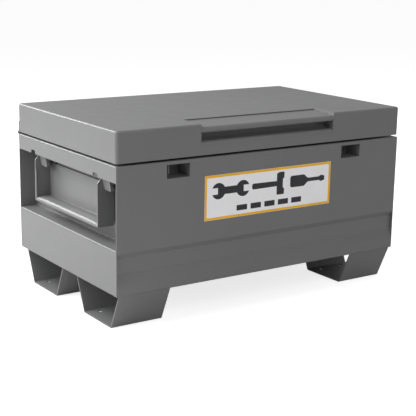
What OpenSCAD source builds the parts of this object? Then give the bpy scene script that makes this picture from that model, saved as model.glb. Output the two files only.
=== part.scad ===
// Steel jobsite tool chest on skid feet: hinged lid, two drop handles, two recessed padlock
// pockets and a gas spring inside. The origin is on the floor, under the middle of the chest.
// +X is to the right, +Y to the back (the hinge side), +Z up.

/* [Chest] */
// Outside width, left to right
box_w = 813; // [780:1:900]
// Depth from front panel to back panel
box_d = 490; // [470:1:560]
// Height from the underside of the body to its rim
body_h = 290; // [285:1:320]
// Thickness of the body and lid sheet
sheet = 2; // [1.5:0.1:2.5]

/* [Lid] */
// Height of the lid's skirts
lid_h = 70.5; // [66:0.5:90]
// Gap between rim and lid, filled by the rubber seal
lid_gap = 5; // [4:0.5:6]
// Length of the finger pull along the lid's front
grip_l = 382; // [300:1:420]
// How far the finger pull reaches back into the lid
grip_d = 75; // [60:1:90]

/* [Padlock pockets] */
// Distance between the two pockets' middles
lock_gap = 500; // [460:1:560]
// Width of a pocket's window
lock_w = 60; // [50:1:70]
// Height of a pocket's window
lock_h = 31; // [26:1:36]

/* [Handles] */
// Length of a handle, over its side plates
handle_l = 318; // [260:1:340]
// Thickness of the handle sheet
handle_t = 3; // [2:0.5:3]
// Depth of the recess in each end
recess_d = 45; // [45:1:50]

/* [Feet] */
// Height of the skid feet
foot_h = 82.5; // [70:0.5:110]
// Length of a foot along the chest
foot_l = 132; // [110:1:160]
// Width of a foot where it stands on the floor
foot_base = 127; // [120:1:140]
// Width of a foot where it meets the body
foot_top = 200; // [170:1:210]
// Thickness of the foot plate
foot_t = 3; // [2.5:0.5:4]

/* [Label] */
// Width of the label plate
label_w = 368; // [200:1:400]
// Height of the label plate
label_h = 104; // [60:1:110]

/* [Hidden] */
$fn = 48;

// Colours
steel_grey = [0.42, 0.43, 0.43];
handle_grey = [0.50, 0.51, 0.51];
black = [0.09, 0.09, 0.09];
zinc = [0.70, 0.71, 0.72];
label_white = [0.93, 0.93, 0.92];

// Overall places: the barrel of the hinge stands out behind, the label in front
hinge_r = 4.5;
label_t = 0.5;
label_x = 4;                    // the label is a little right of the middle
front_y = label_t - (box_d + 2*hinge_r + label_t)/2;
back_y = front_y + box_d;
mid_y = front_y + box_d/2;
rim_z = foot_h + body_h;
lid_z = rim_z + lid_gap;
top_z = lid_z + lid_h;
label_z = rim_z - 95;
cut = 1;                        // how far a cutter reaches past what it cuts
touch = 0.02;                   // clearance of a pin fixed in its hole
run = 0.06;                     // radial clearance of a running fit

// Pressed step in the front and back panels
flange = 20;
step_in = 8;
step_foot_z = foot_h + 25.5;
step_low_z = foot_h + 49.5;
step_high_z = foot_h + 85.5;
step_head_z = foot_h + 97.5;

// Rim: the folded top edges, on which the seal lies
front_rim = 50;
back_rim = 22;
end_rim = recess_d + sheet;
seal_w = 8;

// End recess, with the band above it and the ledge below it
ledge_z = foot_h + 104.5;
band_z = rim_z - 37;

// Feet: their middles, the second two from the middle of the chest
foot_x = box_w/2 - 7.3 - foot_l/2;
front_foot_y = -143;
rear_foot_y = 125;

// Handle, measured inwards from the end's outer face
handle_out = 1.5;
handle_in = recess_d - 1.5;
handle_low_z = ledge_z + 34;
handle_bend = 4;
handle_crown = 6;               // how far the grip's floor is arched up
pivot_in = 27;
pivot_z = band_z - 19.5;
pivot_r = 4;
plate_y = [handle_l/2 - handle_t, -handle_l/2];     // lower face of each side plate
notch_w = 22;
notch_before = 3;
notch_h = 8.5;

// Handle brackets, one on the same side of each side plate
bracket_gap = 0.5;
bracket_w = 33;
bracket_in = 12;
bracket_lean = 4.5;             // how far its foot stands back from its head
bracket_low_z = pivot_z - 12;
bracket_high_z = band_z + 16.5;

// Padlock pockets and hasps
lock_z = rim_z - 39;
pocket_d = 50;
pocket_t = 1.5;
hasp_t = 4;
hasp_w = 20;
hasp_y = front_y + 17;
hasp_side = -22;                // from a pocket's middle to its hasp
hasp_hole_z = rim_z - 23;
hasp_hole_r = 5.5;
slot_side = 2.5;                // room beside a hasp in its slot
slot_ends = 4.5;                // and at its two ends

// Hinge
hinge_y = back_y + hinge_r;
hinge_z = rim_z + lid_gap/2;
hinge_l = box_w - 3;
hinge_pin_r = 2;
knuckles = 15;
knuckle_gap = 0.5;
leaf_t = 1.5;
leaf_h = 28;

// Finger pull in the lid
grip_low_z = lid_z + 22.5;
grip_bend = 9;                  // round edge from the skirt in to the pocket's floor
nose_r = 7;
nose_z = lid_z + 56.5;          // middle of the nose's roll
shelf_back = grip_d + 8;        // where the shelf ends, under the lid's top
shelf_back_z = top_z - sheet;
grip_pocket_d = 32;

// Gas spring, closed, from its wall stud to its lid stud
strut_x = -box_w/2 + end_rim + 12.5;
strut_low = [hinge_y - 151, hinge_z - 154];
strut_high = [hinge_y - 80, hinge_z + 17.5];
strut_len = norm(strut_high - strut_low);
strut_tilt = atan2(strut_low[0] - strut_high[0], strut_high[1] - strut_low[1]);
strut_r = 9;
rod_r = 4;
eye_r = 7;
eye_w = 8;
stud_r = 3;
cylinder_from = 10;             // the tube's two ends, from the wall stud
cylinder_to = 150;
eye_side = 0.3;                 // gap beside an eye

// Bent sheet: the outline of a sheet t thick whose face runs along the points p, with its
// thickness to the right of the way the points go
function unit(v) = v / norm(v);
function to_right(v) = [v[1], -v[0]];
function stretch(p, i) = unit(p[i + 1] - p[i]);
function inner_point(p, i, t) =
    let (before = to_right(stretch(p, max(i - 1, 0))),
         after = to_right(stretch(p, min(i, len(p) - 2))),
         middle = unit(before + after))
    p[i] + middle * t / (middle * before);
function bent_sheet(p, t) =
    concat(p, [for (i = [len(p) - 1:-1:0]) inner_point(p, i, t)]);
function arc(middle, r, from, to, steps) =
    [for (i = [0:steps]) let (a = from + (to - from)*i/steps) middle + r*[cos(a), sin(a)]];

// An outline in Y and Z drawn out along X, and one in X and Z drawn out along Y
module along_x(length) { rotate([90, 0, 90]) linear_extrude(length, center = true) children(); }
module along_y(length) { rotate([90, 0, 0]) linear_extrude(length, center = true) children(); }

// A disc or pin along X or Y, centred on its own middle
module pin_x(r, length) { rotate([0, 90, 0]) cylinder(r = r, h = length, center = true); }
module pin_y(r, length) { rotate([90, 0, 0]) cylinder(r = r, h = length, center = true); }

// A flat rectangle with rounded corners, centred
module round_corners(w, d, r) {
    square([w - 2*r, d], center = true);
    square([w, d - 2*r], center = true);
    for (x = [-1, 1], y = [-1, 1]) translate([x*(w/2 - r), y*(d/2 - r)]) circle(r);
}

// The two ends: what is drawn has X inwards from the end's outer face and Y from the middle
module at_left_end() { translate([-box_w/2, mid_y, 0]) children(); }
module at_right_end() { translate([box_w/2, mid_y, 0]) rotate(180) children(); }

// ---- Body shell ----

// Front or back panel, with Y inwards from its outer face
module pressed_panel(rim) {
    difference() {
        along_x(box_w) polygon(bent_sheet([
            [flange, foot_h], [0, foot_h], [0, step_foot_z], [step_in, step_low_z],
            [step_in, step_high_z], [0, step_head_z], [0, rim_z], [rim, rim_z]], sheet));
        for (side = [-1, 1]) {
            // The end panel's lower band closes the step
            translate([side*box_w/2, flange, foot_h])
                cube([2*sheet, 2*flange + 2*cut, 2*(ledge_z - foot_h)], center = true);
            // The end panel makes the rim over its recess
            translate([side*(box_w/2 - end_rim/2), sheet + rim/2, rim_z])
                cube([end_rim, rim, 4*sheet], center = true);
        }
    }
}

module lock_windows() {
    for (side = [-1, 1]) {
        translate([side*lock_gap/2 - lock_w/2, -cut, lock_z]) cube([lock_w, sheet + 2*cut, lock_h]);
        hasp_slot(side, 0);
    }
}

// Slot in the rim or the pocket's roof, through which a hasp comes down
module hasp_slot(side, y) {
    translate([side*lock_gap/2 + hasp_side - hasp_t/2 - slot_side, y + hasp_y - front_y - slot_ends,
               lock_z + lock_h - cut])
        cube([hasp_t + 2*slot_side, hasp_w + 2*slot_ends, rim_z]);
}

module front_panel() {
    color(steel_grey) translate([0, front_y, 0]) difference() {
        pressed_panel(front_rim);
        lock_windows();
    }
}

module back_panel() {
    color(steel_grey) translate([0, back_y, 0]) mirror([0, 1, 0]) pressed_panel(back_rim);
}

// End panel: lower band, ledge, back of the recess, rim and upper band in one folded sheet
module end_panel() {
    difference() {
        union() {
            along_y(box_d - 2*sheet) polygon(bent_sheet([
                [0, ledge_z - 20], [0, ledge_z], [recess_d, ledge_z], [recess_d, rim_z - sheet],
                [sheet, rim_z - sheet], [sheet, band_z]], sheet));
            translate([0, -box_d/2, foot_h]) cube([sheet, box_d, ledge_z - foot_h - sheet]);
            translate([0, flange - box_d/2, foot_h]) cube([flange, box_d - 2*flange, sheet]);
        }
        for (y = plate_y) translate([0, y - notch_before, band_z]) handle_notch();
    }
}

// Cut in the band that lets a handle's side plate swing up through it
module handle_notch() {
    corner = 4;
    rotate([90, 0, 90]) linear_extrude(6*sheet, center = true) {
        translate([0, -cut]) square([notch_w, notch_h + cut - corner]);
        translate([corner, -cut]) square([notch_w - 2*corner, notch_h + cut]);
        for (x = [corner, notch_w - corner]) translate([x, notch_h - corner]) circle(corner);
    }
}

module left_end_panel() { color(steel_grey) at_left_end() end_panel(); }
module right_end_panel() { color(steel_grey) at_right_end() end_panel(); }

module floor_panel() {
    color(steel_grey) translate([0, mid_y, foot_h + 1.5*sheet])
        cube([box_w - 2*sheet, box_d - 2*sheet, sheet], center = true);
}

// Rubber strip all round the rim
module rim_seal() {
    outer_w = box_w - 2*(end_rim - seal_w);
    front_edge = front_y + front_rim - seal_w;
    back_edge = back_y - back_rim + seal_w;
    color(black) translate([0, 0, rim_z]) linear_extrude(lid_gap - 0.2) difference() {
        translate([-outer_w/2, front_edge]) square([outer_w, back_edge - front_edge]);
        translate([-outer_w/2 + seal_w, front_edge + seal_w])
            square([outer_w - 2*seal_w, back_edge - front_edge - 2*seal_w]);
    }
}

// ---- Padlock pockets ----

// Sheet box behind a window, open at the front, with a slot in its roof
module lock_pocket(side) {
    color(steel_grey) difference() {
        translate([side*lock_gap/2 - lock_w/2 - pocket_t, front_y + sheet, lock_z - pocket_t])
            cube([lock_w + 2*pocket_t, pocket_d - sheet, lock_h + 2*pocket_t]);
        translate([side*lock_gap/2 - lock_w/2, front_y, lock_z])
            cube([lock_w, pocket_d - pocket_t, lock_h]);
        hasp_slot(side, front_y);
    }
}

// Fixed eye plates, one beside each hasp, welded in the pockets
module lock_eyes() {
    eye_t = 3;
    eye_low = hasp_hole_z - hasp_w/2;
    beside = hasp_t/2 + slot_side + 0.5 + eye_t/2;
    color(steel_grey) for (side = [-1, 1])
            translate([side*lock_gap/2 + hasp_side + beside, 0, 0]) difference() {
        translate([-eye_t/2, hasp_y, eye_low]) cube([eye_t, hasp_w, lock_z + lock_h - eye_low]);
        translate([0, hasp_y + hasp_w/2, hasp_hole_z]) pin_x(hasp_hole_r, 3*eye_t);
    }
}

// Plate that comes down from the lid into a pocket
module lock_hasp(side) {
    low_z = hasp_hole_z - hasp_w/2;
    color(steel_grey) translate([side*lock_gap/2 + hasp_side, 0, 0]) difference() {
        translate([-hasp_t/2, hasp_y, low_z]) cube([hasp_t, hasp_w, lid_z - low_z]);
        translate([0, hasp_y + hasp_w/2, hasp_hole_z]) pin_x(hasp_hole_r, 3*hasp_t);
    }
}

// ---- Skid feet ----

// One foot: a bent plate, open at its two ends, with four holes for a caster's plate
module skid_foot(x, y) {
    over = 1.1;                                     // the webs are bent longer, then trimmed
    spread = foot_base/2 + (foot_top - foot_base)/2*over;
    caster_x = 66.7;
    caster_y = 92.1;
    caster_r = 5.25;
    color(steel_grey) translate([x, mid_y + y, 0]) difference() {
        intersection() {
            along_x(foot_l) polygon(bent_sheet([
                [spread, foot_h*over], [foot_base/2, 0], [-foot_base/2, 0], [-spread, foot_h*over]],
                foot_t));
            translate([0, 0, foot_h/2]) cube([foot_l, foot_top + 20, foot_h], center = true);
        }
        for (i = [-1, 1], j = [-1, 1])
            translate([i*caster_x/2, j*caster_y/2, -cut]) cylinder(r = caster_r, h = foot_t + 2*cut);
    }
}

// ---- Handles ----

// Side plate outline, inwards and up: flat sides, a corner cut off, and a round lobe at the pivot
function side_plate() = concat(
    [[handle_out, handle_low_z]],
    arc([handle_in - handle_bend, handle_low_z + handle_bend], handle_bend, -90, 0, 4),
    arc([pivot_in, pivot_z], handle_in - pivot_in, 0, 90, 10),
    [[handle_out + 10.5, pivot_z + handle_in - pivot_in], [handle_out, pivot_z + 4]]);

// Back and floor of the handle in one bend; the floor is arched, to be gripped from outside
function handle_tray() =
    let (floor_from = handle_in - handle_bend, floor_l = floor_from - handle_out)
    concat(
        [[handle_in, pivot_z - 4]],
        arc([floor_from, handle_low_z + handle_bend], handle_bend, 0, -90, 4),
        [for (i = [1:12]) let (part = i/12)
            [floor_from - part*floor_l, handle_low_z + handle_crown*sin(180*part)]]);

module drop_handle() {
    tray_t = handle_t - 0.5;
    difference() {
        union() {
            for (y = plate_y) translate([0, y + handle_t/2, 0]) along_y(handle_t) polygon(side_plate());
            along_y(handle_l) polygon(bent_sheet(handle_tray(), tray_t));
        }
        for (y = plate_y) translate([pivot_in, y + handle_t/2, pivot_z]) pin_y(pivot_r + run, 2*handle_t);
    }
}

// Outline of a bracket: upright at its head, then leaning in to a rounded toe; its heel is cut
// away where the handle's back swings past
function bracket_side(toe_r) =
    let (toe = bracket_in + bracket_lean, heel = bracket_in + 18)
    concat(
        [[bracket_in, bracket_high_z], [bracket_in, band_z]],
        arc([toe + toe_r, bracket_low_z + toe_r], toe_r, 180, 270, 6),
        [[heel, bracket_low_z], [recess_d, bracket_low_z + recess_d - heel],
         [recess_d, bracket_high_z]]);

// Bent bracket beside each side plate: a face, and two cheeks that hold the pin
module handle_brackets() {
    toe_r = 5;
    for (y = plate_y) translate([0, y - bracket_gap - bracket_w/2, 0]) difference() {
        along_y(bracket_w) polygon(bracket_side(toe_r));
        // Hollow between the cheeks, open at the back and below
        translate([sheet, 0, 0]) along_y(bracket_w - 2*sheet) polygon([
            [bracket_in, bracket_high_z + cut], [bracket_in, band_z],
            [bracket_in + bracket_lean, bracket_low_z + toe_r],
            [bracket_in + bracket_lean, bracket_low_z - cut], [recess_d, bracket_low_z - cut],
            [recess_d, bracket_high_z + cut]]);
        translate([pivot_in, 0, pivot_z]) pin_y(pivot_r + touch, 2*bracket_w);
    }
}

// Headed pin through a side plate and both cheeks of its bracket
module handle_pins() {
    head_t = 2.5;
    tail_t = 1.5;
    far = -bracket_gap - bracket_w;
    near = handle_t + bracket_gap;
    for (y = plate_y) translate([pivot_in, y, pivot_z]) {
        translate([0, (near + far)/2, 0]) pin_y(pivot_r, near - far);
        translate([0, near + head_t/2, 0]) pin_y(7, head_t);
        translate([0, far - tail_t/2, 0]) pin_y(6, tail_t);
    }
}

module left_handle() { color(handle_grey) at_left_end() drop_handle(); }
module right_handle() { color(handle_grey) at_right_end() drop_handle(); }
module left_handle_brackets() { color(steel_grey) at_left_end() handle_brackets(); }
module right_handle_brackets() { color(steel_grey) at_right_end() handle_brackets(); }
module left_handle_pins() { color(zinc) at_left_end() handle_pins(); }
module right_handle_pins() { color(zinc) at_right_end() handle_pins(); }

module label_plate() {
    color(label_white) translate([label_x, front_y - label_t/2, label_z])
        cube([label_w, label_t, label_h], center = true);
}

// ---- Hinge ----

// A leaf with every second knuckle, from number first on; up is 1 for the lid's, -1 for the body's
module hinge_leaf(first, up) {
    pitch = hinge_l/knuckles;
    color(steel_grey) translate([0, hinge_y, hinge_z]) difference() {
        union() {
            translate([-hinge_l/2, -hinge_r, up > 0 ? 0 : -leaf_h]) cube([hinge_l, leaf_t, leaf_h]);
            for (i = [first:2:knuckles - 1])
                translate([-hinge_l/2 + pitch*(i + 0.5), 0, 0]) pin_x(hinge_r, pitch - knuckle_gap);
        }
        for (i = [1 - first:2:knuckles - 1])
            translate([-hinge_l/2 + pitch*(i + 0.5), 0, 0]) pin_x(hinge_r + 0.5, pitch + knuckle_gap);
        pin_x(hinge_pin_r + run, hinge_l + 2*cut);
    }
}

module hinge_pin() {
    color(zinc) translate([0, hinge_y, hinge_z]) pin_x(hinge_pin_r, hinge_l + 2);
}

// ---- Lid ----

// Top and skirts in one, open below, with a cut in the front for the finger pull
module lid_shell() {
    corner = 7;
    color(steel_grey) difference() {
        translate([0, mid_y, lid_z]) linear_extrude(lid_h) round_corners(box_w, box_d, corner);
        translate([0, mid_y, lid_z - cut]) linear_extrude(lid_h - sheet + cut)
            round_corners(box_w - 2*sheet, box_d - 2*sheet, corner - sheet);
        translate([-grip_l/2, front_y - cut, grip_low_z]) cube([grip_l, grip_d + cut, lid_h]);
    }
}

// Flat ring inside the foot of the skirts, which presses on the seal
module lid_rim_frame() {
    corner = 5;
    inner_w = box_w - 2*(end_rim + 1);
    color(steel_grey) translate([0, 0, lid_z]) linear_extrude(sheet) difference() {
        translate([0, mid_y]) round_corners(box_w - 2*sheet, box_d - 2*sheet, corner);
        translate([-inner_w/2, front_y + front_rim])
            square([inner_w, box_d - front_rim - back_rim]);
    }
}

// Underside of the finger pull's shelf, above a place y behind the lid's front
function shelf_under(y) =
    let (nose_top = nose_z + nose_r)
    nose_top - sheet + (y - nose_r)*(shelf_back_z - nose_top)/(shelf_back - nose_r);

// Sloping shelf of the finger pull, rolled over at its front edge
module lid_grip_rail() {
    rail = concat(
        [[shelf_back, shelf_back_z - lid_z]],
        arc([nose_r, nose_z - lid_z], nose_r, 90, 270, 12),
        [[nose_r + 9, nose_z - lid_z - nose_r]]);
    back_to_front = [for (i = [len(rail) - 1:-1:0]) rail[i]];
    color(steel_grey) translate([0, front_y, lid_z]) along_x(grip_l - 0.4)
        polygon(bent_sheet(back_to_front, sheet));
}

// Pocket under the shelf for the fingers: floor with a round front edge, back and two ends
module lid_grip_pocket() {
    back_z = shelf_under(grip_pocket_d) - 0.2;
    end_z = grip_low_z + 4;
    end_h = top_z - sheet - end_z;
    color(steel_grey) translate([0, front_y, 0]) {
        difference() {
            along_x(grip_l) polygon(bent_sheet(concat(
                arc([grip_bend, grip_low_z], grip_bend, 180, 90, 8),
                [[grip_pocket_d, grip_low_z + grip_bend], [grip_pocket_d, back_z]]), sheet));
            // The floor's round edge stands on the skirt below it
            translate([0, 0, grip_low_z - sheet]) cube([grip_l + 2*cut, 4*sheet, 2*sheet], center = true);
        }
        for (side = [-1, 1])
            translate([side*(grip_l/2 + sheet/2), grip_d/2 + sheet/2, end_z + end_h/2])
                cube([sheet, grip_d - sheet, end_h], center = true);
    }
}

// Hat channel under the middle of the lid
module lid_stiffener() {
    hat_w = 60;
    hat_h = 18;
    brim = 15;
    color(steel_grey) translate([0, mid_y + 30, top_z - sheet]) along_x(box_w - 120)
        polygon(bent_sheet([
            [-hat_w/2 - brim, 0], [-hat_w/2, 0], [-hat_w/2 + 5, -hat_h], [hat_w/2 - 5, -hat_h],
            [hat_w/2, 0], [hat_w/2 + brim, 0]], sheet));
}

// ---- Gas spring ----

module at_strut(point) { translate([strut_x, point[0], point[1]]) children(); }

// Plate and stud on the inside of the left end, with a washer that keeps the spring's eye on
module strut_wall_bracket() {
    wall = -box_w/2 + end_rim - strut_x;
    plate_t = 2.5;
    washer_t = 1.5;
    collar_r = 5;
    face = wall + plate_t;
    eye = eye_w/2 + eye_side;
    color(zinc) at_strut(strut_low) {
        translate([wall + plate_t/2, 0, 0]) cube([plate_t, 30, 44], center = true);
        translate([(face - eye)/2, 0, 0]) pin_x(collar_r, -eye - face);
        translate([(face + eye + washer_t)/2, 0, 0]) pin_x(stud_r, eye + washer_t - face);
        translate([eye + washer_t/2, 0, 0]) pin_x(collar_r, washer_t);
    }
}

// Plate that stands on the lid's frame up to its top, with a stud facing the spring's upper eye
module strut_lid_bracket() {
    frame_edge = -box_w/2 + end_rim + 1 - strut_x;
    plate_t = 2;
    color(zinc) at_strut(strut_high) {
        translate([frame_edge, -20, lid_z - strut_high[1]]) cube([plate_t, 40, lid_h - sheet]);
        translate([(frame_edge + plate_t - eye_w/2 - eye_side)/2, 0, 0])
            pin_x(stud_r, -eye_w/2 - eye_side - frame_edge - plate_t);
    }
}

module strut_cylinder() {
    gland = 6;
    neck_r = eye_w/2 - 0.2;
    color(black) at_strut(strut_low) rotate([strut_tilt, 0, 0]) difference() {
        union() {
            pin_x(eye_r, eye_w);
            cylinder(r = neck_r, h = cylinder_from + cut);
            translate([0, 0, cylinder_from]) cylinder(r = strut_r, h = cylinder_to - cylinder_from);
        }
        pin_x(stud_r + run, 2*eye_w);
        translate([0, 0, cylinder_from + 3])
            cylinder(r = strut_r - 1.5, h = cylinder_to - cylinder_from - 3 - gland);
        translate([0, 0, cylinder_to - gland - cut]) cylinder(r = rod_r + run, h = gland + 2*cut);
    }
}

module strut_rod() {
    piston_from = cylinder_from + 5;
    piston_t = 6;
    color(zinc) at_strut(strut_low) rotate([strut_tilt, 0, 0]) {
        translate([0, 0, piston_from]) cylinder(r = rod_r, h = strut_len - piston_from);
        translate([0, 0, piston_from]) cylinder(r = strut_r - 1.5 - run, h = piston_t);
        translate([0, 0, strut_len]) pin_x(eye_r, eye_w);
    }
}

front_panel();
back_panel();
left_end_panel();
right_end_panel();
floor_panel();
rim_seal();
lock_pocket(-1);  // left_lock_pocket
lock_pocket(1);  // right_lock_pocket
lock_eyes();
skid_foot(-foot_x, front_foot_y);  // front_left_foot
skid_foot(foot_x, front_foot_y);  // front_right_foot
skid_foot(-foot_x, rear_foot_y);  // rear_left_foot
skid_foot(foot_x, rear_foot_y);  // rear_right_foot
left_handle_brackets();
right_handle_brackets();
left_handle_pins();
right_handle_pins();
left_handle();
right_handle();
label_plate();
hinge_leaf(0, -1);  // hinge_body_leaf
hinge_leaf(1, 1);  // hinge_lid_leaf
hinge_pin();
lid_shell();
lid_rim_frame();
lid_grip_rail();
lid_grip_pocket();
lid_stiffener();
lock_hasp(-1);  // left_lock_hasp
lock_hasp(1);  // right_lock_hasp
strut_wall_bracket();
strut_lid_bracket();
strut_cylinder();
strut_rod();
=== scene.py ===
import math

import bmesh
import bpy
from mathutils import Matrix, Vector


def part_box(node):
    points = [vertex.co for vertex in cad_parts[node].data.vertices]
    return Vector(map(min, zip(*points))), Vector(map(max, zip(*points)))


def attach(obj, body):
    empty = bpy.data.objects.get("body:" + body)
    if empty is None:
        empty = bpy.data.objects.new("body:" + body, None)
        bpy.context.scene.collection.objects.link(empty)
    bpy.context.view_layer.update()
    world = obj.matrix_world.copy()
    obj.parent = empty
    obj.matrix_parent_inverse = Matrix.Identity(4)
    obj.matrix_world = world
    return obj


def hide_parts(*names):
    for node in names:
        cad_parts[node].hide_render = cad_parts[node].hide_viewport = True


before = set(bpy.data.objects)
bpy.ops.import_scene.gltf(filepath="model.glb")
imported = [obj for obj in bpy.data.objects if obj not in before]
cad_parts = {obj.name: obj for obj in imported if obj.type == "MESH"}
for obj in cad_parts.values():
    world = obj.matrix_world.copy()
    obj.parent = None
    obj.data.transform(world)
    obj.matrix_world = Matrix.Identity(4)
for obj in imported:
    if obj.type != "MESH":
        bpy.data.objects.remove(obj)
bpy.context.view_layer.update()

# Looks of the steel tool chest. Lengths are in millimetres; a mesh is scaled to metres as it is
# made. The frame's own node boxes give every outer size, and the values below give what they don't.
MM = 0.001


def box_mm(node):
    low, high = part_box(node)
    return low / MM, high / MM


# Places read from the frame
FRONT_LOW, FRONT_HIGH = box_mm("front_panel")
LID_LOW, LID_HIGH = box_mm("lid_shell")
HALF_W = FRONT_HIGH.x
FRONT_Y, BACK_Y = FRONT_LOW.y, box_mm("back_panel")[1].y
MID_Y = (FRONT_Y + BACK_Y) / 2
DEPTH = BACK_Y - FRONT_Y
BODY_Z, RIM_Z = FRONT_LOW.z, FRONT_HIGH.z
LID_Z, TOP_Z = LID_LOW.z, LID_HIGH.z

# Sheet metal
SHEET = 2.0
BEND = 3.5              # outer radius of an ordinary fold
CUT_EDGE = 0.35         # rounding that the paint gives a cut edge
CORNER = 1.4            # rounding down a panel's upright ends
BEND_STEPS = 7

# Pressed step of the front and back panels
FLANGE = 20.0
STEP_IN = 8.0
STEP_Z = [25.5, 49.5, 85.5, 97.5]       # above the underside of the body
STEP_BENDS = [14.0, 14.0, 5.0, 5.0]

# Rims and padlock pockets
FRONT_RIM, BACK_RIM = 50.0, 22.0
POCKET_T = 1.5
SLOT_ROOM_X, SLOT_ROOM_Y = 2.5, 4.5     # between a hasp and its slot
SLOT_Y = (box_mm("left_lock_hasp")[0].y - SLOT_ROOM_Y, box_mm("left_lock_hasp")[1].y + SLOT_ROOM_Y)

# Ends
RECESS = 45.0
END_RIM = RECESS + SHEET
LEDGE_Z = BODY_Z + 104.5
BAND_Z = RIM_Z - 37.0
NOTCH_W, NOTCH_H, NOTCH_R = 22.0, 8.5, 4.0

# Lid
LID_CORNER = 7.0
LID_BEND = 5.0


# ---- Shapes: lists of points in millimetres and of faces ----

def turn(v, angle):
    c, s = math.cos(angle), math.sin(angle)
    return Vector((c * v.x - s * v.y, s * v.x + c * v.y))


def rounded(points, radii, steps=BEND_STEPS):
    """The points as one line whose inner corners are arcs of these radii; radius 0 keeps a point."""
    pts = [Vector(p) for p in points]
    line = [pts[0]]
    for before, corner, after, radius in zip(pts, pts[1:], pts[2:], radii):
        if radius == 0:
            line.append(corner)
            continue
        a, b = (before - corner).normalized(), (after - corner).normalized()
        half = a.angle(b) / 2
        middle = corner + (a + b).normalized() * (radius / math.sin(half))
        start = corner + a * (radius / math.tan(half)) - middle
        sweep = math.pi - 2 * half
        if a.x * b.y - a.y * b.x > 0:
            sweep = -sweep
        line += [middle + turn(start, sweep * i / steps) for i in range(steps + 1)]
    return line + [pts[-1]]


def rights(line):
    """At each point of the line, the step to its right that moves both stretches by 1."""
    stretches = [(q - p).normalized() for p, q in zip(line, line[1:])]
    normals = [Vector((d.y, -d.x)) for d in stretches]
    out = []
    for i in range(len(line)):
        a, b = normals[max(i - 1, 0)], normals[min(i, len(normals) - 1)]
        m = (a + b).normalized()
        out.append(m / m.dot(a))
    return out


def stations(places, corner=0.0, steps=4):
    """(place, depth) pairs along a sheet; the face sinks by depth towards its rounded ends."""
    places = sorted(places)
    if not corner:
        return [(p, 0.0) for p in places]
    arcs = [math.pi / 2 * i / steps for i in range(steps + 1)]
    end = [(corner * (1 - math.sin(a)), corner * (1 - math.cos(a))) for a in arcs]
    low = [(places[0] + inset, depth) for inset, depth in reversed(end)]
    high = [(places[-1] - inset, depth) for inset, depth in end]
    inner = [(p, 0.0) for p in places[1:-1] if low[-1][0] < p < high[0][0]]
    return low + inner + high


def sheet(line, thick, along, is_open=None):
    """A bent sheet: its face runs along line, its thickness lies to the right, and it is drawn out
    through the stations. is_open(point, place) leaves out the cell there. Points are (a, b, place)."""
    steps_right = rights(line)
    rows, cols = len(line), len(along)
    verts = []
    for (place, depth) in along:
        for p, r in zip(line, steps_right):
            face, inner = p + r * depth, p + r * thick
            verts += [(face.x, face.y, place), (inner.x, inner.y, place)]

    def at(i, j, inner):
        return (j * rows + i) * 2 + inner

    def solid(i, j):
        if not (0 <= i < rows - 1 and 0 <= j < cols - 1):
            return False
        if is_open is None:
            return True
        return not is_open((line[i] + line[i + 1]) / 2, (along[j][0] + along[j + 1][0]) / 2)

    faces = []
    for i in range(rows - 1):
        for j in range(cols - 1):
            if not solid(i, j):
                continue
            faces.append((at(i, j, 0), at(i + 1, j, 0), at(i + 1, j + 1, 0), at(i, j + 1, 0)))
            faces.append((at(i, j, 1), at(i, j + 1, 1), at(i + 1, j + 1, 1), at(i + 1, j, 1)))
            borders = (((i - 1, j), (i, j), (i, j + 1)), ((i + 1, j), (i + 1, j), (i + 1, j + 1)),
                       ((i, j - 1), (i, j), (i + 1, j)), ((i, j + 1), (i, j + 1), (i + 1, j + 1)))
            for beside, p, q in borders:
                if not solid(*beside):
                    faces.append((at(*p, 0), at(*q, 0), at(*q, 1), at(*p, 1)))
    return verts, faces


def prism(outline, low, high):
    """An outline drawn out from low to high. Points are (a, b, place)."""
    n = len(outline)
    verts = [(p[0], p[1], s) for s in (low, high) for p in outline]
    sides = [(i, (i + 1) % n, n + (i + 1) % n, n + i) for i in range(n)]
    return verts, [tuple(range(n - 1, -1, -1)), tuple(range(n, 2 * n))] + sides


def loft(rings, closed=False):
    """Rings of equally many points joined one to the next, with a face over each end."""
    n = len(rings[0])
    verts = [tuple(p) for ring in rings for p in ring]
    pairs = [(k, k + 1) for k in range(len(rings) - 1)] + ([(len(rings) - 1, 0)] if closed else [])
    faces = [(a * n + i, a * n + (i + 1) % n, b * n + (i + 1) % n, b * n + i)
             for a, b in pairs for i in range(n)]
    if not closed:
        faces += [tuple(range(n - 1, -1, -1)), tuple(range((len(rings) - 1) * n, len(rings) * n))]
    return verts, faces


def turned(profile, steps=40, closed=False):
    """A profile of (radius, height) points turned about Z."""
    rings = [[(r * math.cos(a), r * math.sin(a), h)
              for a in (2 * math.pi * i / steps for i in range(steps))] for r, h in profile]
    return loft(rings, closed)


def block(low, high):
    return prism([(low[0], low[1]), (high[0], low[1]), (high[0], high[1]), (low[0], high[1])],
                 low[2], high[2])


def arc(middle, radius, start, end, steps=8):
    """Points of an arc, its angles in degrees."""
    angles = [math.radians(start + (end - start) * i / steps) for i in range(steps + 1)]
    return [Vector((middle[0] + radius * math.cos(a), middle[1] + radius * math.sin(a))) for a in angles]


def round_rect(half_a, half_b, radius, steps=6, middle=(0, 0)):
    out = []
    for sa, sb, first in ((1, 1, 0), (-1, 1, 90), (-1, -1, 180), (1, -1, 270)):
        centre = (middle[0] + sa * (half_a - radius), middle[1] + sb * (half_b - radius))
        out += arc(centre, radius, first, first + 90, steps)
    return out


def placed(shape, matrix):
    return [tuple(matrix @ Vector(v)) for v in shape[0]], shape[1]


def joined(*shapes):
    verts, faces = [], []
    for v, f in shapes:
        faces += [tuple(i + len(verts) for i in face) for face in f]
        verts += v
    return verts, faces


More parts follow.
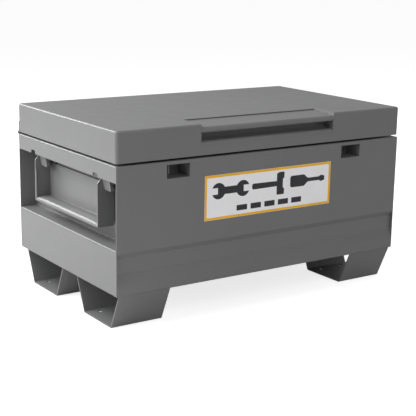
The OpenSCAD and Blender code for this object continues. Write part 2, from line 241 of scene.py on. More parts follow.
# (a, b, place) to X, Y, Z: drawn out along X from an outline in Y and Z, along Y from one in X and Z
ALONG_X = Matrix(((0, 0, 1, 0), (1, 0, 0, 0), (0, 1, 0, 0), (0, 0, 0, 1)))
ALONG_Y = Matrix(((1, 0, 0, 0), (0, 0, 1, 0), (0, 1, 0, 0), (0, 0, 0, 1)))
# The ends: X inwards from the end's outer face, Y from the middle
END_TUCK = 0.02         # keeps the bevelled corners inside the outer box
END_X = HALF_W - END_TUCK
LEFT_END = Matrix.Translation((-END_X, MID_Y, 0))
RIGHT_END = Matrix.Translation((END_X, MID_Y, 0)) @ Matrix.Rotation(math.pi, 4, "Z")
ENDS = (("left", LEFT_END), ("right", RIGHT_END))


def new_mesh(name, shape):
    mesh = bpy.data.meshes.new(name)
    mesh.from_pydata([Vector(v) * MM for v in shape[0]], [], shape[1])
    bm = bmesh.new()
    bm.from_mesh(mesh)
    bmesh.ops.remove_doubles(bm, verts=bm.verts, dist=1e-6)
    bmesh.ops.recalc_face_normals(bm, faces=bm.faces)
    for face in bm.faces:
        face.smooth = True
    bm.to_mesh(mesh)
    bm.free()
    return mesh


def carved(shape, *cutters):
    """The shape with the cutters taken away."""
    objects = []
    for s in (shape, *cutters):
        obj = bpy.data.objects.new("carving", new_mesh("carving", s))
        bpy.context.scene.collection.objects.link(obj)
        objects.append(obj)
    for tool in objects[1:]:
        cut = objects[0].modifiers.new("cut", "BOOLEAN")
        cut.operation, cut.solver, cut.object = "DIFFERENCE", "EXACT", tool
    bpy.context.view_layer.update()
    graph = bpy.context.evaluated_depsgraph_get()
    mesh = bpy.data.meshes.new_from_object(objects[0].evaluated_get(graph))
    verts = [tuple(v.co / MM) for v in mesh.vertices]
    faces = [tuple(p.vertices) for p in mesh.polygons]
    for obj in objects:
        bpy.data.objects.remove(obj)
    return verts, faces


def soften(obj, edge):
    """Rounds the sharp edges a little and evens out the shading of flat faces."""
    if edge:
        bevel = obj.modifiers.new("edges", "BEVEL")
        bevel.width, bevel.segments = edge * MM, 2
        bevel.limit_method, bevel.angle_limit = "ANGLE", math.radians(38)
        bevel.use_clamp_overlap = True
        bevel.miter_outer = "MITER_ARC"
    weighted = obj.modifiers.new("shading", "WEIGHTED_NORMAL")
    weighted.mode, weighted.weight = "FACE_AREA", 60


def piece(name, shape, material, body, stands_for=(), edge=CUT_EDGE):
    obj = bpy.data.objects.new(name, new_mesh(name, shape))
    bpy.context.scene.collection.objects.link(obj)
    obj.data.materials.append(material)
    soften(obj, edge)
    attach(obj, body)
    if stands_for:
        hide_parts(*stands_for)
    return obj


def dress(node, material, edge=CUT_EDGE):
    """A CAD node that keeps its own mesh, with a better finish and softened edges."""
    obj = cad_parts[node]
    obj.data.materials.clear()
    obj.data.materials.append(material)
    for face in obj.data.polygons:
        face.use_smooth = True
    weld = obj.modifiers.new("weld", "WELD")
    weld.merge_threshold = 1e-6
    soften(obj, edge)


# ---- Materials ----

class Nodes:
    """A material's node tree, with its Principled shader."""

    def __init__(self, name):
        self.material = bpy.data.materials.new(name)
        self.material.use_nodes = True
        self.tree = self.material.node_tree
        self.shader = self.tree.nodes["Principled BSDF"]
        self.place = self.tree.nodes.new("ShaderNodeTexCoord").outputs["Object"]

    def set(self, **values):
        for name, value in values.items():
            self.shader.inputs[name].default_value = value

    def stretched(self, scale):
        node = self.tree.nodes.new("ShaderNodeMapping")
        node.inputs["Scale"].default_value = scale
        self.tree.links.new(self.place, node.inputs["Vector"])
        return node.outputs["Vector"]

    def noise(self, scale, detail=3.0, stretch=None):
        node = self.tree.nodes.new("ShaderNodeTexNoise")
        node.inputs["Scale"].default_value = scale
        node.inputs["Detail"].default_value = detail
        where = self.stretched(stretch) if stretch else self.place
        self.tree.links.new(where, node.inputs["Vector"])
        return node.outputs["Fac"]

    def between(self, factor, low, high, spread=(0.35, 0.65)):
        node = self.tree.nodes.new("ShaderNodeMapRange")
        self.tree.links.new(factor, node.inputs["Value"])
        node.inputs["From Min"].default_value, node.inputs["From Max"].default_value = spread
        node.inputs["To Min"].default_value, node.inputs["To Max"].default_value = low, high
        return node.outputs["Result"]

    def colours(self, factor, low, high, spread=(0.35, 0.65)):
        node = self.tree.nodes.new("ShaderNodeValToRGB")
        node.color_ramp.elements[0].position, node.color_ramp.elements[1].position = spread
        node.color_ramp.elements[0].color, node.color_ramp.elements[1].color = (*low, 1), (*high, 1)
        self.tree.links.new(factor, node.inputs["Fac"])
        return node.outputs["Color"]

    def drive(self, socket, output):
        self.tree.links.new(output, self.shader.inputs[socket])

    def bump(self, *layers):
        """Each layer is (height, strength, depth in millimetres)."""
        normal = None
        for height, strength, depth in layers:
            node = self.tree.nodes.new("ShaderNodeBump")
            node.inputs["Strength"].default_value = strength
            node.inputs["Distance"].default_value = depth * MM
            self.tree.links.new(height, node.inputs["Height"])
            if normal:
                self.tree.links.new(normal, node.inputs["Normal"])
            normal = node.outputs["Normal"]
        self.drive("Normal", normal)


def powder_coat(name, grey):
    """Smooth semi-gloss powder coat: faint orange peel, a slow unevenness of tone and gloss."""
    n = Nodes(name)
    low, high = [c * 0.985 for c in grey], [c * 1.015 for c in grey]
    n.drive("Base Color", n.colours(n.noise(5.0, 4.0), low, high))
    n.drive("Roughness", n.between(n.noise(26.0, 3.0), 0.33, 0.37))
    peel, waves = n.noise(620.0, 2.0), n.noise(7.0, 1.0)
    n.bump((waves, 0.06, 0.6), (peel, 0.22, 0.05))
    n.set(IOR=1.5)
    return n.material


def rubber():
    n = Nodes("seal_rubber_finish")
    n.drive("Base Color", n.colours(n.noise(60.0), (0.012, 0.012, 0.012), (0.026, 0.026, 0.027)))
    n.drive("Roughness", n.between(n.noise(90.0), 0.62, 0.8))
    n.bump((n.noise(900.0, 2.0), 0.4, 0.06))
    return n.material


def metal(name, low, high, rough, grain, stretch=None):
    n = Nodes(name)
    n.set(Metallic=1.0)
    n.drive("Base Color", n.colours(n.noise(grain / 4, 3.0), low, high))
    streaks = n.noise(grain, 3.0, stretch)
    n.drive("Roughness", n.between(streaks, *rough))
    n.bump((streaks, 0.15, 0.02))
    return n.material


def gloss_black():
    n = Nodes("strut_black_finish")
    n.drive("Base Color", n.colours(n.noise(30.0), (0.010, 0.010, 0.011), (0.016, 0.016, 0.017)))
    n.drive("Roughness", n.between(n.noise(120.0), 0.22, 0.32))
    n.bump((n.noise(700.0, 2.0), 0.2, 0.02))
    return n.material


def print_finish(name, low, high, rough):
    """Vinyl film or ink on it, with a faint texture."""
    n = Nodes(name)
    n.drive("Base Color", n.colours(n.noise(18.0, 4.0), low, high))
    n.drive("Roughness", n.between(n.noise(70.0), *rough))
    n.bump((n.noise(1100.0, 2.0), 0.25, 0.02))
    return n.material


# ---- Camera, floor and light ----

VIEW_ANGLES = (-34.43, 13.41, 1.03)         # azimuth, elevation and roll in degrees
VIEW_PLACE = (-1.4821, -2.1630, 0.8089)     # metres
LENS, SENSOR = 91.60, 36.0
NEAR, FAR = 0.05, 100.0


def make_camera():
    azimuth, elevation, roll = (math.radians(a) for a in VIEW_ANGLES)
    back = Vector((math.sin(azimuth) * math.cos(elevation),
                   -math.cos(azimuth) * math.cos(elevation), math.sin(elevation)))
    level = Vector((math.cos(azimuth), math.sin(azimuth), 0))
    upright = back.cross(level)
    right = level * math.cos(roll) + upright * math.sin(roll)
    up = upright * math.cos(roll) - level * math.sin(roll)
    data = bpy.data.cameras.new("camera")
    data.lens, data.sensor_width = LENS, SENSOR
    data.clip_start, data.clip_end = NEAR, FAR
    camera = bpy.data.objects.new("camera", data)
    camera.matrix_world = (Matrix.Translation(VIEW_PLACE)
                           @ Matrix((right, up, back)).transposed().to_4x4())
    bpy.context.scene.collection.objects.link(camera)
    bpy.context.scene.camera = camera


FLOOR_REACH, FLOOR_WHITE = 30.0, (0.6, 0.6, 0.6)
FLOOR_SEEN, FLOOR_THROWN = 0.76, 0.05       # glow that the camera sees, and that the chest sees


def make_floor():
    """A white floor that looks brighter to the camera than the light it throws back."""
    reach = FLOOR_REACH
    mesh = bpy.data.meshes.new("floor")
    mesh.from_pydata([(-reach, -reach, 0), (reach, -reach, 0), (reach, reach, 0), (-reach, reach, 0)],
                     [], [(0, 1, 2, 3)])
    floor = bpy.data.objects.new("floor", mesh)
    n = Nodes("floor_finish")
    seen = n.tree.nodes.new("ShaderNodeBsdfPrincipled")
    for shader, glow in ((n.shader, FLOOR_THROWN), (seen, FLOOR_SEEN)):
        shader.inputs["Base Color"].default_value = (*FLOOR_WHITE, 1)
        shader.inputs["Roughness"].default_value = 0.9
        shader.inputs["Emission Color"].default_value = (1, 1, 1, 1)
        shader.inputs["Emission Strength"].default_value = glow
    path, mix = n.tree.nodes.new("ShaderNodeLightPath"), n.tree.nodes.new("ShaderNodeMixShader")
    n.tree.links.new(path.outputs["Is Camera Ray"], mix.inputs["Fac"])
    n.tree.links.new(n.shader.outputs["BSDF"], mix.inputs[1])
    n.tree.links.new(seen.outputs["BSDF"], mix.inputs[2])
    n.tree.links.new(mix.outputs["Shader"], n.tree.nodes["Material Output"].inputs["Surface"])
    mesh.materials.append(n.material)
    bpy.context.scene.collection.objects.link(floor)


def area_light(name, place, target, size, watts):
    data = bpy.data.lights.new(name, "AREA")
    data.shape, data.size, data.size_y, data.energy = "RECTANGLE", size[0], size[1], watts
    lamp = bpy.data.objects.new(name, data)
    aim = Vector(place) - Vector(target)
    lamp.matrix_world = Matrix.Translation(place) @ aim.to_track_quat("Z", "Y").to_matrix().to_4x4()
    bpy.context.scene.collection.objects.link(lamp)
    return lamp


ROOM_LIGHT = 0.33
# Lamps: where they stand, their size in metres and their watts; all face the chest
LAMP_TARGET = (-0.1, 0, 0.3)
LAMPS = {"left": ((-3.1, -0.1, 1.6), (1.8, 1.6), 54),
         "behind_left": ((-1.7, 1.1, 1.55), (1.2, 1.0), 30),
         "behind": ((-1.25, 2.5, 1.6), (1.5, 1.1), 40),
         "over_left": ((-1.3, 0.2, 2.0), (1.2, 1.0), 17),
         "right": ((3.0, 1.3, 1.2), (1.6, 1.4), 22),
         "front": ((0.2, -3.0, 2.3), (2.0, 1.6), 26)}
UNREFLECTED = ("left", "right", "behind_left")      # lamps that would glare in the lid's top


def make_light():
    """A white room that lights softly, and broad lamps, mostly from the left."""
    world = bpy.data.worlds.new("room")
    world.use_nodes = True
    tree = world.node_tree
    shade = tree.nodes["Background"]
    shade.inputs["Strength"].default_value = ROOM_LIGHT
    seen = tree.nodes.new("ShaderNodeBackground")
    path = tree.nodes.new("ShaderNodeLightPath")
    mix = tree.nodes.new("ShaderNodeMixShader")
    shade.inputs["Color"].default_value = seen.inputs["Color"].default_value = (1, 1, 1, 1)
    tree.links.new(path.outputs["Is Camera Ray"], mix.inputs["Fac"])
    tree.links.new(shade.outputs["Background"], mix.inputs[1])
    tree.links.new(seen.outputs["Background"], mix.inputs[2])
    tree.links.new(mix.outputs["Shader"], tree.nodes["World Output"].inputs["Surface"])
    bpy.context.scene.world = world
    bpy.context.scene.view_settings.view_transform = "Standard"
    for name, (place, size, watts) in LAMPS.items():
        lamp = area_light(name, place, LAMP_TARGET, size, watts)
        lamp.visible_glossy = name not in UNREFLECTED


# ---- Chest ----

def lock_places(side):
    """Middle and half width of a pocket's window, and the two sides of its slot."""
    (low, high), hasp = box_mm(f"{side}_lock_pocket"), box_mm(f"{side}_lock_hasp")
    slot = (hasp[0].x - SLOT_ROOM_X, hasp[1].x + SLOT_ROOM_X)
    return (low.x + high.x) / 2, (high.x - low.x) / 2 - POCKET_T, slot


def pressed_line(rim, extra=()):
    """Outer face of the front or back panel, inwards and up; extra are flat points on the way."""
    pts = [((FLANGE, BODY_Z), 0), ((0, BODY_Z), BEND)]
    for z, inset, radius in zip(STEP_Z, (0, STEP_IN, STEP_IN, 0), STEP_BENDS):
        pts.append(((inset, BODY_Z + z), radius))
    pts += [((0, z), 0) for z in (LEDGE_Z - 3, *extra)]
    pts += [((0, RIM_Z), BEND), ((SHEET * 2 + 1, RIM_Z), 0)]
    pts += [((y - FRONT_Y, RIM_Z), 0) for y in SLOT_Y if y - FRONT_Y < rim]
    pts.append(((rim, RIM_Z), 0))
    return rounded([p for p, _ in pts], [r for _, r in pts[1:-1]])


def panel_edges(point, place):
    """Where a panel stops short: the end's band closes the step, and the end's rim its corners."""
    lower = point.y < LEDGE_Z - 3 and abs(place) > HALF_W - SHEET
    rim = point.x > SHEET * 2 and point.y > RIM_Z - 1 and abs(place) > HALF_W - END_RIM
    return lower or rim


def panel_places():
    """Where the outline of the front or back panel changes along its width."""
    return [s * p for p in (HALF_W, HALF_W - SHEET, HALF_W - END_RIM) for s in (-1, 1)]


def front_panel(paint):
    low, high = box_mm("left_lock_pocket")
    bottom, top = low.z + POCKET_T, high.z - POCKET_T
    locks = [lock_places(side) for side in ("left", "right")]

    def is_open(point, place):
        in_window = any(abs(place - x) < half for x, half, _ in locks)
        in_slot = any(slot[0] < place < slot[1] for _, _, slot in locks)
        window = bottom < point.y < top and in_window
        through = point.y > RIM_Z - 1 and SLOT_Y[0] < point.x + FRONT_Y < SLOT_Y[1] and in_slot
        return window or through or panel_edges(point, place)

    places = panel_places()
    for x, half, slot in locks:
        places += [x - half, x + half, *slot]
    shape = sheet(pressed_line(FRONT_RIM, (bottom, top)), SHEET, stations(places, CORNER), is_open)
    shape = placed(shape, Matrix.Translation((0, FRONT_Y, 0)) @ ALONG_X)
    piece("front_panel_sheet", shape, paint, "chest", ["front_panel"])


def back_panel(paint):
    shape = sheet(pressed_line(BACK_RIM), SHEET, stations(panel_places(), CORNER), panel_edges)
    mirror = Matrix.Translation((0, BACK_Y, 0)) @ Matrix.Scale(-1, 4, (0, 1, 0)) @ ALONG_X
    piece("back_panel_sheet", placed(shape, mirror), paint, "chest", ["back_panel"])


def handle_notch(y):
    """Cutter for the notch over a handle's side plate, y its lower side."""
    outline = rounded([(y, BAND_Z - 5), (y, BAND_Z + NOTCH_H), (y + NOTCH_W, BAND_Z + NOTCH_H),
                       (y + NOTCH_W, BAND_Z - 5)], [NOTCH_R, NOTCH_R])
    return placed(prism(outline, -5, 8), ALONG_X)


def end_panels(paint):
    half = DEPTH / 2
    line = rounded([(FLANGE, BODY_Z), (0, BODY_Z), (0, LEDGE_Z), (RECESS, LEDGE_Z),
                    (RECESS, RIM_Z - SHEET), (SHEET, RIM_Z - SHEET), (SHEET, BAND_Z)],
                   [BEND, BEND, BEND, BEND, BEND - SHEET])
    flat_top = LEDGE_Z - BEND

    def is_open(point, place):
        far = abs(place)
        bottom = point.y < BODY_Z + BEND and point.x > 0.05 and far > half - FLANGE - 1
        above = point.y > flat_top and far > half - SHEET
        rim = point.y > RIM_Z - SHEET - 0.5 and point.x > BEND and far > half - SHEET * 2 - 1
        return bottom or above or rim

    changes = (half, half - SHEET, half - SHEET * 2 - 1, half - FLANGE - 1)
    places = [s * p for p in changes for s in (-1, 1)]
    shape = placed(sheet(line, SHEET, stations(places, CORNER), is_open), ALONG_Y)
    for side, at in ENDS:
        cut = carved(shape, *[handle_notch(y - 3) for y in PLATE_Y])
        piece(f"{side}_end_sheet", placed(cut, at), paint, "chest", [f"{side}_end_panel"])


# Side plates of a handle: the lower side of each, from the middle of the end
HANDLE_LENGTH = box_mm("left_handle")[1].y - box_mm("left_handle")[0].y
HANDLE_T = 3.0
PLATE_Y = (HANDLE_LENGTH / 2 - HANDLE_T, -HANDLE_LENGTH / 2)
HANDLE_OUT = 1.5
HANDLE_IN = RECESS - 1.5
HANDLE_Z = box_mm("left_handle")[0].z
TRAY_BEND = 4.0
CROWN, CROWN_END = 2.5, 50.0      # rise of the arched floor, and how far from its ends it starts
HEM_R, HEM_TOP = 2.5, 77.0        # rolled outer edge of a side plate
PIVOT_IN, PIVOT_Z, PIVOT_R, PIVOT_ROOM = 27.0, BAND_Z - 19.5, 4.0, 0.06


def handles(paint):
    lobe = HANDLE_IN - PIVOT_IN
    outline = rounded([(HANDLE_OUT, PIVOT_Z + 4), (HANDLE_OUT, HANDLE_Z), (HANDLE_IN, HANDLE_Z),
                       (HANDLE_IN, PIVOT_Z)], [2.0, TRAY_BEND])
    outline += arc((PIVOT_IN, PIVOT_Z), lobe, 0, 90, 10)[1:]
    outline += arc((HANDLE_OUT + 12, PIVOT_Z + lobe - 3), 3, 90, 140, 3)
    hole = placed(turned([(PIVOT_R + PIVOT_ROOM, -9), (PIVOT_R + PIVOT_ROOM, 9)], 32),
                  Matrix.Translation((PIVOT_IN, 0, PIVOT_Z)) @ Matrix.Rotation(math.pi / 2, 4, "X"))
    plate = carved(placed(prism(outline, 0, HANDLE_T), ALONG_Y), hole)
    plates = [placed(plate, Matrix.Translation((0, y, 0))) for y in PLATE_Y]
    hem = turned([(0.01, 0), (HEM_R - 0.5, 0), (HEM_R, 0.5), (HEM_R, HEM_TOP - 2), (1.2, HEM_TOP),
                  (0.01, HEM_TOP)], 24)
    hems = [placed(hem, Matrix.Translation((HANDLE_OUT + HEM_R, y, HANDLE_Z)))
            for y in (PLATE_Y[0] + HANDLE_T - HEM_R, PLATE_Y[1] + HEM_R)]
    for side, at in ENDS:
        piece(f"{side}_handle_tray", placed(joined(handle_tray(), *plates, *hems), at), paint,
              f"{side}_handle", [f"{side}_handle"], 0.6)


def handle_tray():
    """Back and floor of a handle; the floor is arched along its middle and rolled down in front."""
    thick, lip, roll = HANDLE_T - 0.5, 6.0, 5.9
    floor_z, back = HANDLE_Z + lip, HANDLE_IN - TRAY_BEND
    front = HANDLE_OUT + thick
    along_floor = [(back + (front + roll + 0.1 - back) * i / 14, floor_z) for i in range(1, 14)]
    line = rounded([(HANDLE_IN, PIVOT_Z - 4), (HANDLE_IN, floor_z), *along_floor, (front, floor_z),
                    (front, HANDLE_Z)], [TRAY_BEND] + [0] * 13 + [roll], 10)
    reach = HANDLE_LENGTH / 2 - 0.3
    places = [s * (reach - CROWN_END * i / 12) for i in range(13) for s in (-1, 1)]
    verts, faces = sheet(line, thick, stations(places))

    def lift(a, place):
        across = min(max((back - a) / (back - HANDLE_OUT), 0), 1)
        along = min((reach - abs(place)) / CROWN_END, 1)
        return CROWN * math.sin(math.pi * across) * math.sin(math.pi / 2 * along)

    lifted = [(a, b + (lift(a, place) if b < floor_z + thick + 0.1 else 0), place)
              for a, b, place in verts]
    return placed((lifted, faces), ALONG_Y)


BRACKET_W, BRACKET_IN, BRACKET_LEAN, BRACKET_GAP = 33.0, 12.0, 4.5, 0.5
BRACKET_LOW, BRACKET_HIGH = PIVOT_Z - 12, BAND_Z + 16.5


def handle_brackets(paint, steel):
    """Bent brackets welded in the recess, and the headed pins through them."""
    toe, toe_r, heel = BRACKET_IN + BRACKET_LEAN, 5.0, BRACKET_IN + 18
    outline = [(BRACKET_IN, BRACKET_HIGH), (BRACKET_IN, BAND_Z)]
    outline += arc((toe + toe_r, BRACKET_LOW + toe_r), toe_r, 180, 270, 6)
    outline += [(heel, BRACKET_LOW), (RECESS, BRACKET_LOW + RECESS - heel), (RECESS, BRACKET_HIGH)]
    hollow = [(BRACKET_IN, BRACKET_HIGH + 1), (BRACKET_IN, BAND_Z), (toe, BRACKET_LOW + toe_r),
              (toe, BRACKET_LOW - 1), (RECESS, BRACKET_LOW - 1), (RECESS, BRACKET_HIGH + 1)]
    hollow = [(a + SHEET, b) for a, b in hollow]
    round_r = 10.0
    corner = [(-1, BRACKET_LOW - 1), (round_r, BRACKET_LOW - 1)]
    corner += arc((round_r, BRACKET_LOW + round_r), round_r, 270, 180) + [(-1, BRACKET_LOW + round_r)]
    corner = placed(prism(corner, -1, RECESS + 5), ALONG_X)
    other = Matrix.Translation((0, BRACKET_W, 0)) @ Matrix.Scale(-1, 4, (0, 1, 0))
    shape = carved(placed(prism(outline, 0, BRACKET_W), ALONG_Y),
                   placed(prism(hollow, SHEET, BRACKET_W - SHEET), ALONG_Y), corner,
                   placed(corner, other))
    head = [(0.01, 3.2), (2.5, 3.0), (4.8, 2.2), (6.4, 1.0), (7, 0), (PIVOT_R, 0)]
    length = BRACKET_GAP * 2 + BRACKET_W + HANDLE_T
    tail = [(PIVOT_R, -length), (6, -length), (5.6, -length - 0.9), (4, -length - 1.4),
            (0.01, -length - 1.5)]
    pin = placed(turned(head + tail, 36), Matrix.Translation((PIVOT_IN, HANDLE_T + BRACKET_GAP, PIVOT_Z))
                 @ Matrix.Rotation(-math.pi / 2, 4, "X"))
    for side, at in ENDS:
        sides = [Matrix.Translation((0, y, 0)) for y in PLATE_Y]
        aside = Matrix.Translation((0, -BRACKET_GAP - BRACKET_W, 0))
        both = joined(*[placed(shape, m @ aside) for m in sides])
        piece(f"{side}_handle_bracket_pair", placed(both, at), paint, "chest",
              [f"{side}_handle_brackets"], 0.8)
        pins = joined(*[placed(pin, m) for m in sides])
        piece(f"{side}_handle_pin_pair", placed(pins, at), steel, "chest",
              [f"{side}_handle_pins"], 0)


def lock_pockets(paint):
    for side in ("left", "right"):
        low, high = box_mm(f"{side}_lock_pocket")
        sides = lock_places(side)[2]
        wall = Vector((POCKET_T, POCKET_T, POCKET_T))
        outer = block(low, high)
        inside = block(low + wall - Vector((0, 2 * POCKET_T, 0)), high - wall)
        slot = block((sides[0], SLOT_Y[0], high.z - 5), (sides[1], SLOT_Y[1], high.z + 5))
        piece(f"{side}_lock_pocket_box", carved(outer, inside, slot), paint, "chest",
              [f"{side}_lock_pocket"], 0.3)


FOOT_T, FOOT_BEND, HALF_BASE = 3.0, 5.0, 63.5
BOLT_X, BOLT_Y, BOLT_R = 33.35, 46.05, 5.25     # a caster's bolt holes, from the foot's middle


def skid_feet(paint):
    for node in ("front_left_foot", "front_right_foot", "rear_left_foot", "rear_right_foot"):
        low, high = box_mm(node)
        middle = (low + high) / 2
        top, length = (high.y - low.y) / 2, (high.x - low.x) / 2
        line = rounded([(top, high.z), (HALF_BASE, 0), (-HALF_BASE, 0), (-top, high.z)],
                       [FOOT_BEND, FOOT_BEND])
        shape = placed(sheet(line, FOOT_T, stations([-length, length])), ALONG_X)
        hole = turned([(BOLT_R, -5), (BOLT_R, 9)], 32)
        holes = [placed(hole, Matrix.Translation((i * BOLT_X, j * BOLT_Y, 0)))
                 for i in (-1, 1) for j in (-1, 1)]
        shape = placed(carved(shape, *holes), Matrix.Translation((middle.x, middle.y, 0)))
        piece(f"{node}_plate", shape, paint, "chest", [node], 0.5)


def rim_seal(material):
    """Sponge strip with a flat foot and a round crown, all round the rim."""
    low, high = box_mm("rim_seal")
    half_x, half_y = (high.x - low.x) / 2, (high.y - low.y) / 2
    middle = ((low.x + high.x) / 2, (low.y + high.y) / 2)
    tall = high.z - low.z
    profile = [(0, 0), (0, 1.6), (1.2, 2.0)] + \
        [(4 - 2.9 * math.cos(a), 2.0 + (tall - 2.0) * math.sin(a))
         for a in (math.pi * k / 8 for k in range(1, 8))] + [(6.8, 2.0), (8, 1.6), (8, 0)]
    rings = [[(p.x, p.y, low.z + h) for p in
              round_rect(half_x - d, half_y - d, 10 - d, 5, middle)] for d, h in profile]
    piece("rim_seal_strip", loft(rings, closed=True), material, "chest", ["rim_seal"], 0)


# ---- Label ----

def spread_flat(outline, thick, lift, middle):
    """A flat outline (across, up) laid on the front panel's face."""
    shape = prism(outline, -lift - thick, -lift)
    return placed(shape, Matrix.Translation((middle.x, FRONT_Y, middle.z)) @ ALONG_Y)


def wrench():
    r, bar, jaw, reach = 19.0, 8.5, 7.5, 34.0
    a, b = math.degrees(math.asin(jaw / r)), math.degrees(math.asin(bar / r))
    right = arc((reach, 0), r, a, 180 - b)
    left = arc((-reach, 0), r, b, 180 - a)
    notch_left = [Vector((-reach - 2, jaw)), Vector((-reach - 2, -jaw))]
    low_left, low_right = arc((-reach, 0), r, 180 + a, 360 - b), arc((reach, 0), r, 180 + b, 360 - a)
    notch_right = [Vector((reach + 2, -jaw)), Vector((reach + 2, jaw))]
    return right + left + notch_left + low_left + low_right + notch_right


def hammer():
    return rounded([(-52, 0), (-52, 7), (20, 6), (20, 24), (28, 27), (42, 27), (42, 13), (38, 10),
                    (38, -10), (42, -14), (42, -27), (20, -27), (20, -6), (-52, -7), (-52, 0)],
                   [5, 0, 0, 8, 2, 2, 2, 2, 2, 2, 2, 0, 5], 4)[:-1]


def screwdriver():
    return rounded([(-52, 0), (-52, 14), (-10, 14), (-3, 8), (2, 4.5), (36, 4.5), (42, 8), (53, 5),
                    (53, -5), (42, -8), (36, -4.5), (2, -4.5), (-3, -8), (-10, -14), (-52, -14),
                    (-52, 0)],
                   [6, 5, 2, 0, 0, 0, 0, 0, 0, 0, 0, 2, 5, 6], 4)[:-1]


def label(white, amber, ink):
    low, high = box_mm("label_plate")
    middle = (low + high) / 2
    half_x, half_z = (high.x - low.x) / 2, (high.z - low.z) / 2
    film, print_t, border = 0.28, 0.10, 6.0
    piece("label_film", spread_flat(round_rect(half_x, half_z, 1.5), film, 0, middle), white, "chest",
          ["label_plate"], 0)
    rings = [round_rect(half_x - d, half_z - d, 1.5) for d in (0.4, border)]
    steps = ((rings[0], 0), (rings[0], print_t), (rings[1], print_t), (rings[1], 0))
    frame_rings = [[(middle.x + p.x, FRONT_Y - film - t, middle.z + p.y) for p in ring]
                   for ring, t in steps]
    piece("label_border", loft(frame_rings, closed=True), amber, "chest", edge=0)
    row = [Vector((x, 0)) for x in (-112, 0, 112)]
    marks = [[p + shift + Vector((0, 14)) for p in shape()]
             for shape, shift in zip((wrench, hammer, screwdriver), row)]
    marks += [[p + Vector((x, -31)) for p in round_rect(15, 6.5, 1)] for x in range(-80, 81, 40)]
    shapes = [spread_flat(m, print_t, film, middle) for m in marks]
    piece("label_print", joined(*shapes), ink, "chest", edge=0)


# ---- Lid ----

def lid_rings(inset, top):
    """Rings of the lid's face or inside, from the foot of the skirt up over the bend."""
    bend = LID_BEND - inset
    levels = [(inset, LID_Z), (inset, top - bend)]
    levels += [(inset + bend * (1 - math.cos(a)), top - bend * (1 - math.sin(a)))
               for a in (math.pi / 2 * k / BEND_STEPS for k in range(1, BEND_STEPS + 1))]
    return [[(p.x, p.y, z) for p in round_rect(HALF_W - d, DEPTH / 2 - d, LID_CORNER - d, 7, (0, MID_Y))]
            for d, z in levels]


def lid_shell(paint):
    grip_low = box_mm("lid_grip_pocket")[0].z
    half = (box_mm("lid_grip_rail")[1].x - box_mm("lid_grip_rail")[0].x) / 2 + 0.2
    shell = loft(list(reversed(lid_rings(SHEET, TOP_Z - SHEET))) + lid_rings(0, TOP_Z))
    pull = block((-half, FRONT_Y - 5, grip_low), (half, FRONT_Y + GRIP_DEPTH, TOP_Z + 20))
    piece("lid_shell_sheet", carved(shell, pull), paint, "lid", ["lid_shell"], 0.5)


GRIP_DEPTH, GRIP_BEND, POCKET_BACK = 75.0, 9.0, 32.0
NOSE_R, NOSE_Z = 7.0, LID_Z + 56.5


def grip(paint):
    """Finger pull: a sloping shelf rolled over at its front, above a pocket for the fingers."""
    rail_low, rail_high = box_mm("lid_grip_rail")
    half = (rail_high.x - rail_low.x) / 2
    nose = arc((NOSE_R, NOSE_Z), NOSE_R, 270, 90, 16)
    line = [Vector((NOSE_R + 9, NOSE_Z - NOSE_R))] + nose + [Vector((GRIP_DEPTH + 8, TOP_Z - SHEET))]
    shape = sheet(line, SHEET, stations([-half, half]))
    at = Matrix.Translation((0, FRONT_Y, 0)) @ ALONG_X
    piece("lid_grip_shelf", placed(shape, at), paint, "lid", ["lid_grip_rail"])

    low, high = box_mm("lid_grip_pocket")
    half = (high.x - low.x) / 2 - SHEET
    shelf_slope = (TOP_Z - SHEET - NOSE_Z - NOSE_R) / (GRIP_DEPTH + 8 - NOSE_R)
    shelf_under = NOSE_Z + NOSE_R - SHEET + (POCKET_BACK - NOSE_R) * shelf_slope
    floor = rounded([(GRIP_BEND, low.z + GRIP_BEND), (POCKET_BACK, low.z + GRIP_BEND),
                     (POCKET_BACK, shelf_under - 0.3)], [BEND * 2])
    line = arc((GRIP_BEND, low.z), GRIP_BEND, 180, 90, 12) + floor[1:]
    shape = sheet(line, SHEET, stations([-half, half]))
    ends = [placed(prism([(SHEET, low.z + 4), (GRIP_DEPTH, low.z + 4), (GRIP_DEPTH, TOP_Z - SHEET),
                          (SHEET, TOP_Z - SHEET)], *sorted((s * half, s * (half + SHEET)))), ALONG_X)
            for s in (-1, 1)]
    shape = joined(placed(shape, ALONG_X), *ends)
    piece("lid_grip_well", placed(shape, Matrix.Translation((0, FRONT_Y, 0))), paint, "lid",
          ["lid_grip_pocket"])


def lid_stiffener(paint):
    low, high = box_mm("lid_stiffener")
    middle, half = (low.y + high.y) / 2, (high.x - low.x) / 2
    line = rounded([(-45, 0), (-30, 0), (-25, -18), (25, -18), (30, 0), (45, 0)], [3, 4, 4, 3])
    shape = sheet(line, SHEET, stations([-half, half]))
    at = Matrix.Translation((0, middle, high.z)) @ ALONG_X
    piece("lid_stiffener_hat", placed(shape, at), paint, "lid", ["lid_stiffener"])


# ---- Gas spring ----

EYE_R = 7.0


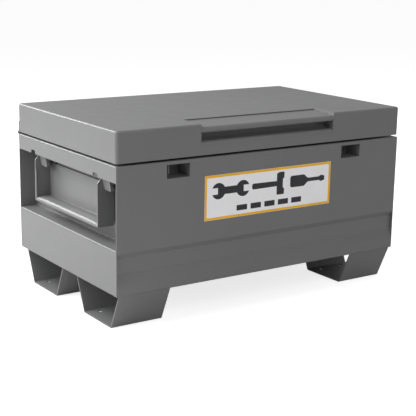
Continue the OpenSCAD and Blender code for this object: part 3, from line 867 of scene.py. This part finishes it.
def gas_spring(black, chrome):
    """Cylinder on the wall stud and rod to the lid stud, turned about the line between them."""
    wall, lid = box_mm("strut_wall_bracket"), box_mm("strut_rod")
    eye = box_mm("strut_cylinder")
    x = (eye[0].x + eye[1].x) / 2
    low = Vector((x, (wall[0].y + wall[1].y) / 2, (wall[0].z + wall[1].z) / 2))
    high = Vector((x, lid[1].y - EYE_R, lid[1].z - EYE_R))
    span = high - low
    tilt = Matrix.Translation(low) @ span.to_track_quat("Z", "X").to_matrix().to_4x4()
    cross = Matrix.Rotation(math.pi / 2, 4, "Y")
    ring = [(3.06, -4), (3.06, 4), (6.2, 4), (7, 3.2), (7, -3.2), (6.2, -4)]
    across = Matrix.Translation(low) @ cross
    tube = [(0.01, 5), (4.6, 5), (4.6, 10), (7.5, 10.3), (9, 12), (9, 143), (8.6, 144.5),
            (8.6, 146.5), (9, 147), (8.4, 149.4), (6.5, 150), (4.2, 150), (4.2, 140), (0.01, 140)]
    shape = joined(placed(turned(ring, 36, closed=True), across), placed(turned(tube, 40), tilt))
    piece("gas_spring_cylinder", shape, black, "strut_cylinder", ["strut_cylinder"], 0)
    reach = span.length
    rod = [(0.01, 141), (4, 141), (4, reach - 14), (5.2, reach - 13.6), (5.2, reach - 6),
           (0.01, reach - 5)]
    knob = [(0.01, -4), (6, -4), (7, -3), (7, 3), (6, 4), (0.01, 4)]
    shape = joined(placed(turned(rod, 36), tilt),
                   placed(turned(knob, 36), Matrix.Translation(high) @ cross))
    piece("gas_spring_rod", shape, chrome, "strut_rod", ["strut_rod"], 0)


def main():
    make_camera()
    make_floor()
    make_light()
    paint = powder_coat("body_paint_finish", (0.165, 0.166, 0.166))
    zinc = metal("zinc_plate_finish", (0.55, 0.56, 0.57), (0.68, 0.69, 0.70), (0.28, 0.42), 160.0)
    steel = metal("pin_steel_finish", (0.10, 0.10, 0.10), (0.15, 0.15, 0.15), (0.34, 0.46), 240.0,
                  (1, 8, 8))
    chrome = metal("rod_finish", (0.66, 0.67, 0.68), (0.74, 0.75, 0.76), (0.10, 0.18), 300.0,
                   (1, 1, 0.1))
    black = gloss_black()

    front_panel(paint)
    back_panel(paint)
    end_panels(paint)
    handles(paint)
    handle_brackets(paint, steel)
    lock_pockets(paint)
    skid_feet(paint)
    rim_seal(rubber())
    label(print_finish("label_white_finish", (0.91, 0.90, 0.91), (0.94, 0.93, 0.94), (0.35, 0.45)),
          print_finish("label_amber_finish", (0.90, 0.47, 0.008), (0.94, 0.50, 0.012), (0.35, 0.45)),
          print_finish("label_ink_finish", (0.016, 0.017, 0.020), (0.026, 0.027, 0.030), (0.35, 0.45)))
    lid_shell(paint)
    grip(paint)
    lid_stiffener(paint)
    gas_spring(black, chrome)
    for node in ("floor_panel", "lock_eyes", "hinge_body_leaf", "hinge_lid_leaf", "lid_rim_frame",
                 "left_lock_hasp", "right_lock_hasp"):
        dress(node, paint)
    dress("hinge_pin", steel)
    for node in ("strut_wall_bracket", "strut_lid_bracket"):
        dress(node, zinc, 0.4)


main()
